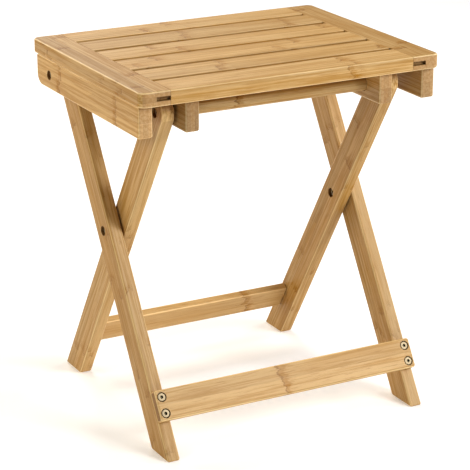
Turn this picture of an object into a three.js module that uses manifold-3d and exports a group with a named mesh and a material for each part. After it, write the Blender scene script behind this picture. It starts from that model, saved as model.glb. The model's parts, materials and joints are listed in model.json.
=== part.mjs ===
// A folding bamboo shower stool: a slatted seat on two X-shaped side frames.
// The outer legs are hinged to the back of the seat. The inner legs cross them on a bolt at
// mid-height and carry a round crossbar, which slides in slotted rails under the seat.
// Millimetres: +X to the right as the stool is seen from the front, +Y to the back and +Z up,
// with the origin on the floor under the middle of the seat. Left and right are from the front.
import * as THREE from "three";
import { mergeVertices } from "three/addons/utils/BufferGeometryUtils.js";
import Module from "manifold-3d";

const wasm = await Module();
wasm.setup();

// ---- Driving dimensions ----

// Seat
const SEAT_WIDTH = 400;
const SEAT_DEPTH = 310;
const SEAT_HEIGHT = 450;
const SEAT_THICKNESS = 18;
const SEAT_CORNER = 9; // radius of the seat's corners in plan
const SEAT_EDGE = 2.5; // radius of the seat's outer edges
const END_RAIL_WIDTH = 38;
const SLAT_COUNT = 6;
const SLAT_GAP = 8;
const SLAT_EDGE = 1.2; // radius of the slats' edges along the gaps
const GROOVE_HEIGHT = 5;
const GROOVE_DEPTH = 18;
const TONGUE_SETBACK = 6; // from a slat's long edges
const OUTER_TONGUE_SETBACK = 4.5; // from the seat's front and back edges

// Rails under the seat
const RAIL_HEIGHT = 38;
const RAIL_THICKNESS = 18;
const RAIL_END_SETBACK = 9; // from the seat's front and back edges
const APRON_SETBACK = 1.5; // from the seat's ends
const APRON_BACK_RADIUS = 14;
const RAIL_CORNER = 3;
const BOARD_EDGE = 2.5; // radius of the edges of rails and legs

// Legs
const LEG_WIDTH = 38;
const LEG_THICKNESS = 17;
const LEG_LEAN = 32; // degrees from upright
const PIVOT_SETBACK = 47; // from the seat's front and back edges to the top pivots
const LEG_TO_SEAT_GAP = 1.2; // over the round top of a leg
const APRON_TO_LEG_GAP = 1.2;
const LEG_TO_LEG_GAP = 2.3;
const LEG_TO_RAIL_GAP = 4;

// Stretchers and crossbar
const STRETCHER_WIDTH = 38;
const STRETCHER_THICKNESS = 11;
const STRETCHER_EDGE = 2.5;
const FRONT_STRETCHER_RISE = 55.5; // from the floor to its middle, along the leg
const REAR_STRETCHER_RISE = 63;
const REAR_STRETCHER_OFFSET = 3.4; // from the leg's middle back to its front face
const CROSSBAR_RADIUS = 8.5;
const CROSSBAR_CLEARANCE = 0.8; // around the crossbar in the rails' slots

// Fasteners
const BOLT_RADIUS = 3;
const BOLT_HEAD_RADIUS = 5;
const BOLT_HEAD_HEIGHT = 4;
const BOLT_RECESS_RADIUS = 6;
const BOLT_RECESS_DEPTH = 7.5; // in the legs and aprons
const STRETCHER_RECESS_DEPTH = 5;
const SOCKET_RADIUS = 2.3; // to the hexagon's corners
const SOCKET_DEPTH = 2.2;
const INSERT_RADIUS = 5;
const INSERT_LENGTH = 12;
const NUT_SLEEVE_RADIUS = 4.4;
const NUT_WEB = 0.8; // between the nut's socket and its thread
const WASHER_RADIUS = 9;
const STRETCHER_BOLT_SPACING = 20;
const STRETCHER_BOLT_LENGTH = 36; // under the head
const CROSSBAR_SCREW_LENGTH = 40; // under the head
const PIN_RADIUS = 3;
const PIN_LENGTH = 24;
const PIN_SPACING = 18;
const SCREW_RADIUS = 2;
const SCREW_HEAD_RADIUS = 3.8;
const SCREW_HEAD_HEIGHT = 2.6;
const SCREW_RECESS_DEPTH = 12;
const SCREW_BITE = 12; // into the seat
const APRON_SCREW_SETBACK = 26; // from the apron's front end
const APRON_SCREW_TO_PIVOT = 36;

// Fits
const JOINT_GAP = 0.3; // between pieces that meet
const BORE_CLEARANCE = 0.3; // around a bolt, screw or pin

// ---- Worked out from them ----

const SEAT_UNDERSIDE = SEAT_HEIGHT - SEAT_THICKNESS;
const LEAN = THREE.MathUtils.degToRad(LEG_LEAN);
const PIVOT_REACH = SEAT_DEPTH / 2 - PIVOT_SETBACK; // from the middle of the seat
const PIVOT_HEIGHT = SEAT_UNDERSIDE - LEG_TO_SEAT_GAP - LEG_WIDTH / 2;
// Distances from a top pivot, down along the leg.
const LEG_LENGTH = PIVOT_HEIGHT / Math.cos(LEAN);
const CROSSING_DROP = PIVOT_REACH / Math.sin(LEAN);
const FRONT_STRETCHER_DROP = LEG_LENGTH - FRONT_STRETCHER_RISE;
const REAR_STRETCHER_DROP = LEG_LENGTH - REAR_STRETCHER_RISE;

const SLAT_WIDTH = (SEAT_DEPTH - SLAT_GAP * (SLAT_COUNT - 1)) / SLAT_COUNT;
const SLAT_LENGTH = SEAT_WIDTH - 2 * END_RAIL_WIDTH - 2 * JOINT_GAP;

// Distances from the middle of the stool out to each layer's outer face.
const APRON_OUT = SEAT_WIDTH / 2 - APRON_SETBACK;
const OUTER_LEG_OUT = APRON_OUT - RAIL_THICKNESS - APRON_TO_LEG_GAP;
const INNER_LEG_OUT = OUTER_LEG_OUT - LEG_THICKNESS - LEG_TO_LEG_GAP;
const RAIL_OUT = INNER_LEG_OUT - LEG_THICKNESS - LEG_TO_RAIL_GAP;

const RAIL_FRONT = -SEAT_DEPTH / 2 + RAIL_END_SETBACK;
const RAIL_BACK = SEAT_DEPTH / 2 - RAIL_END_SETBACK;
const RAIL_BOTTOM = -SEAT_THICKNESS - RAIL_HEIGHT; // from the seat's top
const APRON_SCREWS = [RAIL_FRONT + APRON_SCREW_SETBACK, PIVOT_REACH - APRON_SCREW_TO_PIVOT];
const PIVOT_Z = PIVOT_HEIGHT - SEAT_HEIGHT; // from the seat's top
const REAR_STRETCHER_Y = REAR_STRETCHER_OFFSET + STRETCHER_THICKNESS / 2; // from the leg's middle

const SIDES = [
  { name: "left", sign: -1 },
  { name: "right", sign: 1 },
];
const PAIR = [
  { place: "upper", lift: 0.5 },
  { place: "lower", lift: -0.5 },
];

// Facets: each arc has twice the steps given
const CORNER_STEPS = 3;
const SLOT_STEPS = 7; // round a leg's top and a slot's ends
const EDGE_STEPS = 2;
const BOLT_SIDES = 14;
const HEAD_SIDES = 20;
const SCREW_SIDES = 10;
const BAR_SIDES = 32;

const BAMBOO = { color: 0xd8b078, roughness: 0.55, metalness: 0 };
const STEEL = { color: 0xa9a8a4, roughness: 0.35, metalness: 0.9 };
const NYLON = { color: 0x3a3835, roughness: 0.6, metalness: 0 };

// ---- Solids ----

// A closed geometry as a solid that can be joined and cut.
function solidOf(geometry) {
  const bare = geometry.index ? geometry.toNonIndexed() : geometry.clone();
  bare.deleteAttribute("normal");
  bare.deleteAttribute("uv");
  const merged = mergeVertices(bare, 1e-4);
  return new wasm.Manifold(
    new wasm.Mesh({
      numProp: 3,
      vertProperties: merged.attributes.position.array,
      triVerts: new Uint32Array(merged.index.array),
    }),
  );
}

// A solid as a named mesh of the given finish.
function meshOf(name, solid, finish) {
  const { vertProperties, triVerts } = solid.getMesh();
  const geometry = new THREE.BufferGeometry();
  geometry.setAttribute("position", new THREE.BufferAttribute(vertProperties, 3));
  geometry.setIndex(new THREE.BufferAttribute(triVerts, 1));
  geometry.computeVertexNormals();
  const mesh = new THREE.Mesh(geometry, new THREE.MeshStandardMaterial(finish));
  mesh.name = name;
  return mesh;
}

function block(x0, x1, y0, y1, z0, z1) {
  const geometry = new THREE.BoxGeometry(x1 - x0, y1 - y0, z1 - z0);
  geometry.translate((x0 + x1) / 2, (y0 + y1) / 2, (z0 + z1) / 2);
  return solidOf(geometry);
}

// A round bar along Z, at (x, y).
function barZ(radius, z0, z1, sides = BOLT_SIDES, x = 0, y = 0) {
  const geometry = new THREE.CylinderGeometry(radius, radius, z1 - z0, sides);
  geometry.rotateX(Math.PI / 2);
  geometry.translate(x, y, (z0 + z1) / 2);
  return solidOf(geometry);
}

// A round bar along X, at (y, z).
function barX(radius, x0, x1, y, z, sides = BOLT_SIDES) {
  const geometry = new THREE.CylinderGeometry(radius, radius, Math.abs(x1 - x0), sides);
  geometry.rotateZ(Math.PI / 2);
  geometry.translate((x0 + x1) / 2, y, z);
  return solidOf(geometry);
}

// A round bar along Y, at (x, z).
function barY(radius, y0, y1, x, z, sides = BOLT_SIDES) {
  const geometry = new THREE.CylinderGeometry(radius, radius, y1 - y0, sides);
  geometry.translate(x, (y0 + y1) / 2, z);
  return solidOf(geometry);
}

// A rectangle with a radius of its own at each corner, counterclockwise from the lowest.
function roundedRectangle(u0, u1, v0, v1, [r0, r1, r2, r3]) {
  const shape = new THREE.Shape();
  shape.moveTo(u0 + r0, v0);
  shape.lineTo(u1 - r1, v0);
  if (r1) shape.absarc(u1 - r1, v0 + r1, r1, -Math.PI / 2, 0);
  shape.lineTo(u1, v1 - r2);
  if (r2) shape.absarc(u1 - r2, v1 - r2, r2, 0, Math.PI / 2);
  shape.lineTo(u0 + r3, v1);
  if (r3) shape.absarc(u0 + r3, v1 - r3, r3, Math.PI / 2, Math.PI);
  shape.lineTo(u0, v0 + r0);
  if (r0) shape.absarc(u0 + r0, v0 + r0, r0, Math.PI, 1.5 * Math.PI);
  return shape;
}

// A flat board, its outline in XY and its thickness centred on z = 0. Its edges are rounded
// to the radius given, and steps sets how finely its corners are divided.
function boardXY(outline, thickness, edge, steps = CORNER_STEPS) {
  const geometry = new THREE.ExtrudeGeometry(outline, {
    depth: thickness - 2 * edge,
    bevelEnabled: edge > 0,
    bevelThickness: edge,
    bevelSize: edge,
    bevelOffset: -edge,
    bevelSegments: EDGE_STEPS,
    curveSegments: steps,
  });
  return geometry.translate(0, 0, edge - thickness / 2);
}

// The same board stood on edge, its outline in YZ and its thickness centred on x = 0.
function boardYZ(outline, thickness, edge, steps = CORNER_STEPS) {
  const stand = new THREE.Matrix4().makeBasis(
    new THREE.Vector3(0, 1, 0),
    new THREE.Vector3(0, 0, 1),
    new THREE.Vector3(1, 0, 0),
  );
  return solidOf(boardXY(outline, thickness, edge, steps).applyMatrix4(stand));
}

// ---- Fasteners, each along +Z with the underside of its head at z = 0 ----

function hexSocket(top, radius, depth) {
  return barZ(radius, top - depth, top + 1, 6);
}

function socketBolt(length) {
  return barZ(BOLT_HEAD_RADIUS, 0, BOLT_HEAD_HEIGHT, HEAD_SIDES)
    .add(barZ(BOLT_RADIUS, -length, 1))
    .subtract(hexSocket(BOLT_HEAD_HEIGHT, SOCKET_RADIUS, SOCKET_DEPTH));
}

function woodScrew(length) {
  return barZ(SCREW_HEAD_RADIUS, 0, SCREW_HEAD_HEIGHT, SCREW_SIDES)
    .add(barZ(SCREW_RADIUS, -length, 1, SCREW_SIDES))
    .subtract(hexSocket(SCREW_HEAD_HEIGHT, SCREW_HEAD_RADIUS / 2, SCREW_HEAD_HEIGHT / 2));
}

// A ring with a bolt's running clearance inside.
function boltRing(radius, z0, z1) {
  return barZ(radius, z0, z1, HEAD_SIDES).subtract(barZ(BOLT_RADIUS + BORE_CLEARANCE, z0 - 1, z1 + 1));
}

// A nut with a flange, and a threaded sleeve that reaches down towards the bolt.
function sleeveNut(sleeveLength) {
  const boreTop = BOLT_HEAD_HEIGHT - SOCKET_DEPTH - NUT_WEB;
  return barZ(BOLT_HEAD_RADIUS, 0, BOLT_HEAD_HEIGHT, HEAD_SIDES)
    .add(barZ(NUT_SLEEVE_RADIUS, -sleeveLength, 1))
    .subtract(barZ(BOLT_RADIUS + BORE_CLEARANCE, -sleeveLength - 1, boreTop))
    .subtract(hexSocket(BOLT_HEAD_HEIGHT, SOCKET_RADIUS, SOCKET_DEPTH));
}

// A fastener's mesh, turned to point outwards on the side given by sign, at a distance x out.
function crosswise(name, solid, finish, sign, x, y, z) {
  const mesh = meshOf(name, solid, finish);
  mesh.rotation.y = (sign * Math.PI) / 2;
  mesh.position.set(sign * x, y, z);
  return mesh;
}

// A board's mesh, made for the right side and mirrored for the left, at a distance x out.
function handed(name, solid, sign, x) {
  const mesh = meshOf(name, solid, BAMBOO);
  mesh.scale.x = sign;
  mesh.position.x = sign * x;
  return mesh;
}

// ---- Seat: z is measured down from its top ----

// The hole that a screw from below bites into.
function screwHole(x, y) {
  const top = -SEAT_THICKNESS + SCREW_BITE + JOINT_GAP;
  return barZ(SCREW_RADIUS + BORE_CLEARANCE, -SEAT_THICKNESS - 1, top, SCREW_SIDES, x, y);
}

function endRail() {
  const spare = 2 * SEAT_EDGE;
  const inner = SEAT_WIDTH / 2 - END_RAIL_WIDTH;
  const half = SEAT_DEPTH / 2;
  const middle = -SEAT_THICKNESS / 2;
  const low = middle - GROOVE_HEIGHT / 2;
  const outline = roundedRectangle(
    inner - spare, SEAT_WIDTH / 2, -half, half,
    [0, SEAT_CORNER, SEAT_CORNER, 0],
  );
  let rail = solidOf(boardXY(outline, SEAT_THICKNESS, SEAT_EDGE).translate(0, 0, middle))
    .subtract(block(inner - 2 * spare, inner, -half - 1, half + 1, -SEAT_THICKNESS - 1, 1))
    .subtract(block(inner - 1, inner + GROOVE_DEPTH, -half - 1, half + 1, low, low + GROOVE_HEIGHT));
  for (const y of APRON_SCREWS) rail = rail.subtract(screwHole(APRON_OUT - RAIL_THICKNESS / 2, y));
  return rail;
}

function slatY(index) {
  return (index - (SLAT_COUNT - 1) / 2) * (SLAT_WIDTH + SLAT_GAP);
}

// The part of a slat that sits in the end rails' grooves, from end to end.
function tongue(front, back) {
  const reach = SLAT_LENGTH / 2 + GROOVE_DEPTH - JOINT_GAP;
  const low = -SEAT_THICKNESS / 2 - GROOVE_HEIGHT / 2 + JOINT_GAP;
  return block(-reach, reach, front, back, low, low + GROOVE_HEIGHT - 2 * JOINT_GAP);
}

function slat(index) {
  const first = index === 0;
  const last = index === SLAT_COUNT - 1;
  const front = slatY(index) - SLAT_WIDTH / 2;
  const back = slatY(index) + SLAT_WIDTH / 2;
  const frontEdge = first ? SEAT_EDGE : SLAT_EDGE;
  const backEdge = last ? SEAT_EDGE : SLAT_EDGE;
  const outline = roundedRectangle(
    front, back, -SEAT_THICKNESS, 0,
    [frontEdge, backEdge, backEdge, frontEdge],
  );
  let board = boardYZ(outline, SLAT_LENGTH, 0, EDGE_STEPS).add(
    tongue(
      front + (first ? OUTER_TONGUE_SETBACK : TONGUE_SETBACK),
      back - (last ? OUTER_TONGUE_SETBACK : TONGUE_SETBACK),
    ),
  );
  if (first || last) {
    const x = RAIL_OUT - RAIL_THICKNESS / 2;
    for (const { sign } of SIDES) board = board.subtract(screwHole(sign * x, slatY(index)));
  }
  return board;
}

// A rail under the seat, in YZ, with a radius of its own at its lower back corner.
function railBoard(backRadius) {
  const outline = roundedRectangle(
    RAIL_FRONT, RAIL_BACK, RAIL_BOTTOM, -SEAT_THICKNESS - JOINT_GAP,
    [RAIL_CORNER, backRadius, RAIL_CORNER, RAIL_CORNER],
  );
  return boardYZ(outline, RAIL_THICKNESS, BOARD_EDGE);
}

// The recess and bore of a screw that goes up through a rail, at y.
function railScrewCut(y) {
  const recess = barZ(
    SCREW_HEAD_RADIUS + BORE_CLEARANCE,
    RAIL_BOTTOM - 1, RAIL_BOTTOM + SCREW_RECESS_DEPTH,
    SCREW_SIDES, 0, y,
  );
  const radius = SCREW_RADIUS + BORE_CLEARANCE;
  return recess.add(barZ(radius, RAIL_BOTTOM, -SEAT_THICKNESS + 1, SCREW_SIDES, 0, y));
}

function apron() {
  const face = RAIL_THICKNESS / 2;
  let board = railBoard(APRON_BACK_RADIUS)
    .subtract(barX(BOLT_RADIUS + BORE_CLEARANCE, -face - 1, face + 1, PIVOT_REACH, PIVOT_Z))
    .subtract(
      barX(BOLT_RECESS_RADIUS, face - BOLT_RECESS_DEPTH, face + 1, PIVOT_REACH, PIVOT_Z, HEAD_SIDES),
    );
  for (const y of APRON_SCREWS) board = board.subtract(railScrewCut(y));
  return board;
}

// An inner rail, with the long slot that the crossbar slides in.
function slottedRail() {
  const half = CROSSBAR_RADIUS + CROSSBAR_CLEARANCE;
  const slot = roundedRectangle(
    -PIVOT_REACH - half, PIVOT_REACH + half, PIVOT_Z - half, PIVOT_Z + half,
    [half, half, half, half],
  );
  return railBoard(RAIL_CORNER)
    .subtract(boardYZ(slot, 2 * RAIL_THICKNESS, 0, SLOT_STEPS))
    .subtract(railScrewCut(slatY(0)))
    .subtract(railScrewCut(slatY(SLAT_COUNT - 1)));
}

function railScrew(name, x, y) {
  const length = RAIL_HEIGHT - SCREW_RECESS_DEPTH + SCREW_BITE;
  const screw = meshOf(name, woodScrew(length), STEEL);
  screw.rotation.x = Math.PI;
  screw.position.set(x, y, RAIL_BOTTOM + SCREW_RECESS_DEPTH - JOINT_GAP);
  return screw;
}

function buildSeat() {
  const seat = new THREE.Group();
  seat.position.z = SEAT_HEIGHT;
  const apronX = APRON_OUT - RAIL_THICKNESS / 2;
  const railX = RAIL_OUT - RAIL_THICKNESS / 2;
  for (const { name, sign } of SIDES) {
    seat.add(handed(`seat_end_rail_${name}`, endRail(), sign, 0));
    seat.add(handed(`apron_${name}`, apron(), sign, apronX));
    seat.add(handed(`slotted_rail_${name}`, slottedRail(), sign, railX));
    ["front", "back"].forEach((end, i) => {
      seat.add(railScrew(`apron_screw_${name}_${end}`, sign * apronX, APRON_SCREWS[i]));
      seat.add(railScrew(`rail_screw_${name}_${end}`, sign * railX, slatY(i * (SLAT_COUNT - 1))));
    });
  }
  for (let i = 0; i < SLAT_COUNT; i++) seat.add(meshOf(`seat_slat_${i + 1}`, slat(i), BAMBOO));
  return seat;
}

// ---- Leg frames: each is upright in its own group, which hangs from its top pivot ----
// In the group z falls along the leg from the pivot, and -y is the leg's front face.

// A leg with a round top, and a foot that is level with the floor once the group has turned.
function legBoard(turn) {
  const half = LEG_WIDTH / 2;
  const foot = (y) => -(PIVOT_HEIGHT + y * Math.sin(turn)) / Math.cos(turn);
  const outline = new THREE.Shape();
  outline.moveTo(-half, foot(-half));
  outline.lineTo(half, foot(half));
  outline.lineTo(half, 0);
  outline.absarc(0, 0, half, 0, Math.PI);
  outline.lineTo(-half, foot(-half));
  return boardYZ(outline, LEG_THICKNESS, BOARD_EDGE, SLOT_STEPS);
}

function boltBore(z) {
  return barX(BOLT_RADIUS + BORE_CLEARANCE, -LEG_THICKNESS, LEG_THICKNESS, 0, z);
}

// A recess for a bolt's head or nut, in a leg's outer face or in its inner face.
function boltRecess(face, z) {
  const out = face === "outer" ? 1 : -1;
  const skin = (out * LEG_THICKNESS) / 2;
  return barX(BOLT_RECESS_RADIUS, skin - out * BOLT_RECESS_DEPTH, skin + out, 0, z, HEAD_SIDES);
}

function outerLeg() {
  const inside = -LEG_THICKNESS / 2;
  const front = -LEG_WIDTH / 2;
  const insertBore = barX(
    INSERT_RADIUS + BORE_CLEARANCE,
    inside - 1, inside + INSERT_LENGTH + JOINT_GAP, 0, 0, HEAD_SIDES,
  );
  let leg = legBoard(-LEAN)
    .subtract(boltBore(0))
    .subtract(insertBore)
    .subtract(boltBore(-CROSSING_DROP))
    .subtract(boltRecess("outer", -CROSSING_DROP));
  for (const { lift } of PAIR) {
    const z = -FRONT_STRETCHER_DROP + lift * STRETCHER_BOLT_SPACING;
    const depth = STRETCHER_BOLT_LENGTH + STRETCHER_RECESS_DEPTH - STRETCHER_THICKNESS + 1;
    leg = leg.subtract(barY(BOLT_RADIUS + BORE_CLEARANCE, front - 1, front + depth, 0, z));
  }
  return leg;
}

function innerLeg() {
  const inside = -LEG_THICKNESS / 2;
  const sleeveBore = barX(
    NUT_SLEEVE_RADIUS + BORE_CLEARANCE,
    -LEG_THICKNESS, LEG_THICKNESS, 0, -CROSSING_DROP,
  );
  let leg = legBoard(LEAN)
    .subtract(boltBore(0))
    .subtract(boltRecess("outer", 0))
    .subtract(sleeveBore)
    .subtract(boltRecess("inner", -CROSSING_DROP));
  for (const { lift } of PAIR) {
    const z = -REAR_STRETCHER_DROP + lift * PIN_SPACING;
    const depth = PIN_LENGTH / 2 + JOINT_GAP;
    leg = leg.subtract(
      barX(PIN_RADIUS + BORE_CLEARANCE, inside - 1, inside + depth, REAR_STRETCHER_Y, z, SCREW_SIDES),
    );
  }
  return leg;
}

// A stretcher's board, which faces -y.
function stretcher(length) {
  const long = length / 2;
  const wide = STRETCHER_WIDTH / 2;
  const radii = [RAIL_CORNER, RAIL_CORNER, RAIL_CORNER, RAIL_CORNER];
  const outline = roundedRectangle(-long, long, -wide, wide, radii);
  return solidOf(boardXY(outline, STRETCHER_THICKNESS, STRETCHER_EDGE).rotateX(Math.PI / 2));
}

function frontStretcher() {
  let board = stretcher(2 * OUTER_LEG_OUT);
  const face = -STRETCHER_THICKNESS / 2;
  const radius = BOLT_RADIUS + BORE_CLEARANCE;
  for (const { sign } of SIDES) {
    for (const { lift } of PAIR) {
      const x = sign * (OUTER_LEG_OUT - LEG_THICKNESS / 2);
      const z = lift * STRETCHER_BOLT_SPACING;
      board = board
        .subtract(barY(radius, face - 1, -face + 1, x, z))
        .subtract(barY(BOLT_RECESS_RADIUS, face - 1, face + STRETCHER_RECESS_DEPTH, x, z, HEAD_SIDES));
    }
  }
  return board;
}

function rearStretcher() {
  const half = INNER_LEG_OUT - LEG_THICKNESS - JOINT_GAP;
  const radius = PIN_RADIUS + BORE_CLEARANCE;
  let board = stretcher(2 * half);
  for (const { sign } of SIDES) {
    for (const { lift } of PAIR) {
      const z = lift * PIN_SPACING;
      const deep = sign * (half - PIN_LENGTH / 2);
      board = board.subtract(barX(radius, deep, sign * (half + 1), 0, z, SCREW_SIDES));
    }
  }
  return board;
}

// The bolt that a seat's apron turns on, the insert it screws into and the washer between.
function addTopPivot(frame, { name, sign }) {
  const head = APRON_OUT - BOLT_RECESS_DEPTH + JOINT_GAP;
  const inside = OUTER_LEG_OUT - LEG_THICKNESS;
  const washerHalf = APRON_TO_LEG_GAP / 2 - JOINT_GAP;
  const bolt = socketBolt(head - inside - 1);
  const insert = boltRing(INSERT_RADIUS, JOINT_GAP, INSERT_LENGTH);
  const washer = boltRing(WASHER_RADIUS, -washerHalf, washerHalf);
  frame.add(crosswise(`pivot_bolt_${name}`, bolt, STEEL, sign, head, 0, 0));
  frame.add(crosswise(`pivot_insert_${name}`, insert, STEEL, sign, inside, 0, 0));
  const middle = OUTER_LEG_OUT + APRON_TO_LEG_GAP / 2;
  frame.add(crosswise(`pivot_washer_${name}`, washer, NYLON, sign, middle, 0, 0));
}

// The bolt that the legs cross on, its nut and the washer between the legs.
function addCrossing(frame, { name, sign }) {
  const head = OUTER_LEG_OUT - BOLT_RECESS_DEPTH + JOINT_GAP;
  const nutSeat = INNER_LEG_OUT - LEG_THICKNESS + BOLT_RECESS_DEPTH - JOINT_GAP;
  const washerHalf = LEG_TO_LEG_GAP / 2 - JOINT_GAP;
  const z = -CROSSING_DROP;
  const bolt = socketBolt(head - nutSeat);
  const nut = sleeveNut(LEG_THICKNESS - BOLT_RECESS_DEPTH);
  const washer = boltRing(WASHER_RADIUS, -washerHalf, washerHalf);
  frame.add(crosswise(`cross_bolt_${name}`, bolt, STEEL, sign, head, 0, z));
  const nutMesh = crosswise(`cross_nut_${name}`, nut, STEEL, sign, nutSeat, 0, z);
  nutMesh.rotation.y *= -1;
  frame.add(nutMesh);
  const middle = INNER_LEG_OUT + LEG_TO_LEG_GAP / 2;
  frame.add(crosswise(`cross_washer_${name}`, washer, NYLON, sign, middle, 0, z));
}

function addStretcherBolts(frame, { name, sign }) {
  const face = -LEG_WIDTH / 2 - JOINT_GAP - STRETCHER_THICKNESS;
  for (const { place, lift } of PAIR) {
    const bolt = meshOf(`stretcher_bolt_${name}_${place}`, socketBolt(STRETCHER_BOLT_LENGTH), STEEL);
    bolt.rotation.x = Math.PI / 2;
    bolt.position.set(
      sign * (OUTER_LEG_OUT - LEG_THICKNESS / 2),
      face + STRETCHER_RECESS_DEPTH - JOINT_GAP,
      -FRONT_STRETCHER_DROP + lift * STRETCHER_BOLT_SPACING,
    );
    frame.add(bolt);
  }
}

function buildOuterFrame() {
  const frame = new THREE.Group();
  frame.position.set(0, PIVOT_REACH, PIVOT_HEIGHT);
  frame.rotation.x = -LEAN;
  for (const side of SIDES) {
    const x = OUTER_LEG_OUT - LEG_THICKNESS / 2;
    frame.add(handed(`outer_leg_${side.name}`, outerLeg(), side.sign, x));
    addTopPivot(frame, side);
    addCrossing(frame, side);
    addStretcherBolts(frame, side);
  }
  const front = meshOf("front_stretcher", frontStretcher(), BAMBOO);
  front.position.y = -LEG_WIDTH / 2 - JOINT_GAP - STRETCHER_THICKNESS / 2;
  front.position.z = -FRONT_STRETCHER_DROP;
  frame.add(front);
  return frame;
}

// The round bar between the tops of the inner legs, with a pilot hole in each end.
function crossbar() {
  const half = INNER_LEG_OUT - LEG_THICKNESS - JOINT_GAP;
  const pilot = CROSSBAR_SCREW_LENGTH - (LEG_THICKNESS - BOLT_RECESS_DEPTH) + 1;
  const radius = BOLT_RADIUS + BORE_CLEARANCE;
  let bar = barX(CROSSBAR_RADIUS, -half, half, 0, 0, BAR_SIDES);
  for (const { sign } of SIDES) {
    bar = bar.subtract(barX(radius, sign * (half - pilot), sign * (half + 1), 0, 0));
  }
  return bar;
}

function addStretcherPins(frame, { name, sign }) {
  const half = PIN_LENGTH / 2 - JOINT_GAP;
  for (const { place, lift } of PAIR) {
    const pin = barZ(PIN_RADIUS, -half, half, SCREW_SIDES);
    const z = -REAR_STRETCHER_DROP + lift * PIN_SPACING;
    const x = INNER_LEG_OUT - LEG_THICKNESS;
    frame.add(crosswise(`stretcher_pin_${name}_${place}`, pin, BAMBOO, sign, x, REAR_STRETCHER_Y, z));
  }
}

function buildInnerFrame() {
  const frame = new THREE.Group();
  frame.position.set(0, -PIVOT_REACH, PIVOT_HEIGHT);
  frame.rotation.x = LEAN;
  const head = INNER_LEG_OUT - BOLT_RECESS_DEPTH + JOINT_GAP;
  for (const side of SIDES) {
    const x = INNER_LEG_OUT - LEG_THICKNESS / 2;
    const screw = socketBolt(CROSSBAR_SCREW_LENGTH);
    frame.add(handed(`inner_leg_${side.name}`, innerLeg(), side.sign, x));
    frame.add(crosswise(`crossbar_screw_${side.name}`, screw, STEEL, side.sign, head, 0, 0));
    addStretcherPins(frame, side);
  }
  frame.add(meshOf("crossbar", crossbar(), BAMBOO));
  const rear = meshOf("rear_stretcher", rearStretcher(), BAMBOO);
  rear.position.y = REAR_STRETCHER_Y;
  rear.position.z = -REAR_STRETCHER_DROP;
  frame.add(rear);
  return frame;
}

const stool = new THREE.Group();
stool.add(buildSeat(), buildOuterFrame(), buildInnerFrame());

export default stool;
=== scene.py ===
# A folding bamboo shower stool: finely rounded bamboo boards and turned steel fasteners, built
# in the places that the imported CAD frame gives. Metres, +X right, +Y back and +Z up.
import json
import math

import bmesh
import bpy
from mathutils import Matrix, Vector


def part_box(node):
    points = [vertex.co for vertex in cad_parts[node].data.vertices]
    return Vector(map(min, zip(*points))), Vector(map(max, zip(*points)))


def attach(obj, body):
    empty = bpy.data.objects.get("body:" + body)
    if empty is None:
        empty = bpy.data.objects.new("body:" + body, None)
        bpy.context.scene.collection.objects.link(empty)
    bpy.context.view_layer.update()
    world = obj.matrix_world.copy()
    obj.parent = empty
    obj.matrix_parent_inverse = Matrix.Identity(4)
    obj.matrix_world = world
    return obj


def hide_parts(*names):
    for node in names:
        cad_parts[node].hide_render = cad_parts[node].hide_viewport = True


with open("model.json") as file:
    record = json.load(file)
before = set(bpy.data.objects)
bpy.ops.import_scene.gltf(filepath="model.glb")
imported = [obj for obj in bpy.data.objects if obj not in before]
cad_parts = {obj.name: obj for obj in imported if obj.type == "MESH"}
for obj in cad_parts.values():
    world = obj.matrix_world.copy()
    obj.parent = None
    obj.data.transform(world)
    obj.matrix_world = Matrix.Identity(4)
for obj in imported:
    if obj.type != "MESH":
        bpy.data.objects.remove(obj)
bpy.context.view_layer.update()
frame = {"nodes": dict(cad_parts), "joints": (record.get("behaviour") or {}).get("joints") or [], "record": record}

# ---- Sizes ----

SEAT_CORNER = 0.009
SEAT_EDGE = 0.0025
SLAT_EDGE = 0.0012
BOARD_EDGE = 0.0025
RAIL_CORNER = 0.003
APRON_BACK_RADIUS = 0.014
CROSSBAR_END_EDGE = 0.0008
PIN_CHAMFER = 0.0008

JOINT_GAP = 0.0003
GROOVE_HEIGHT = 0.005
TONGUE_SETBACK = 0.006
OUTER_TONGUE_SETBACK = 0.0045
SLOT_CLEARANCE = 0.0008

# Radii of what goes through or into the boards, and the room round it
BOLT_STEM = 0.003
SCREW_STEM = 0.002
NUT_SLEEVE = 0.0044
BORE_CLEARANCE = 0.0003
BOLT_BORE = BOLT_STEM + BORE_CLEARANCE

# Recesses, in which the fasteners' heads sit, and the holes for the inserts
RECESS_RADIUS = 0.006
RECESS_DEPTH = 0.0075
STRETCHER_RECESS_DEPTH = 0.005
SCREW_RECESS_RADIUS = 0.0041
SCREW_RECESS_DEPTH = 0.012
INSERT_HOLE_RADIUS = 0.0053
INSERT_HOLE_DEPTH = 0.0123
RECESS_RIM = 0.0003  # the small chamfer round every drilled hole
PILOT_RIM = 0.0006  # how much wider a pilot hole is at its mouth, for as deep
PILOT_SPARE = 0.001  # how far the crossbar's pilot holes go on past their screws

# Fasteners
BOLT = {
    "stem_radius": BOLT_STEM, "head_radius": 0.005, "head_height": 0.004, "socket_radius": 0.0023,
}
SCREW = {
    "stem_radius": SCREW_STEM, "head_radius": 0.0038, "head_height": 0.0026, "socket_radius": 0.0019,
}
TIP_TAPER = 0.0004
TIP_LENGTH = 0.0006
HEAD_UNDER_EDGE = 0.0002
HEAD_CHAMFER = 0.12  # as a share of the head's radius
HEAD_ROUNDING = 0.35  # where the chamfer is broken, as a share of it
SOCKET_DEPTH = 0.55  # as a share of the head's height
SOCKET_CONE = 0.0006
SOCKET_PROUD = 0.001  # how far the socket's cutter stands out of the head
SLEEVE_INTO_HEAD = 0.001
WASHER_EDGE = 0.0002
THREAD_PITCH = 0.0015  # of the ridges round an insert
THREAD_DEPTH = 0.0004

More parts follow.
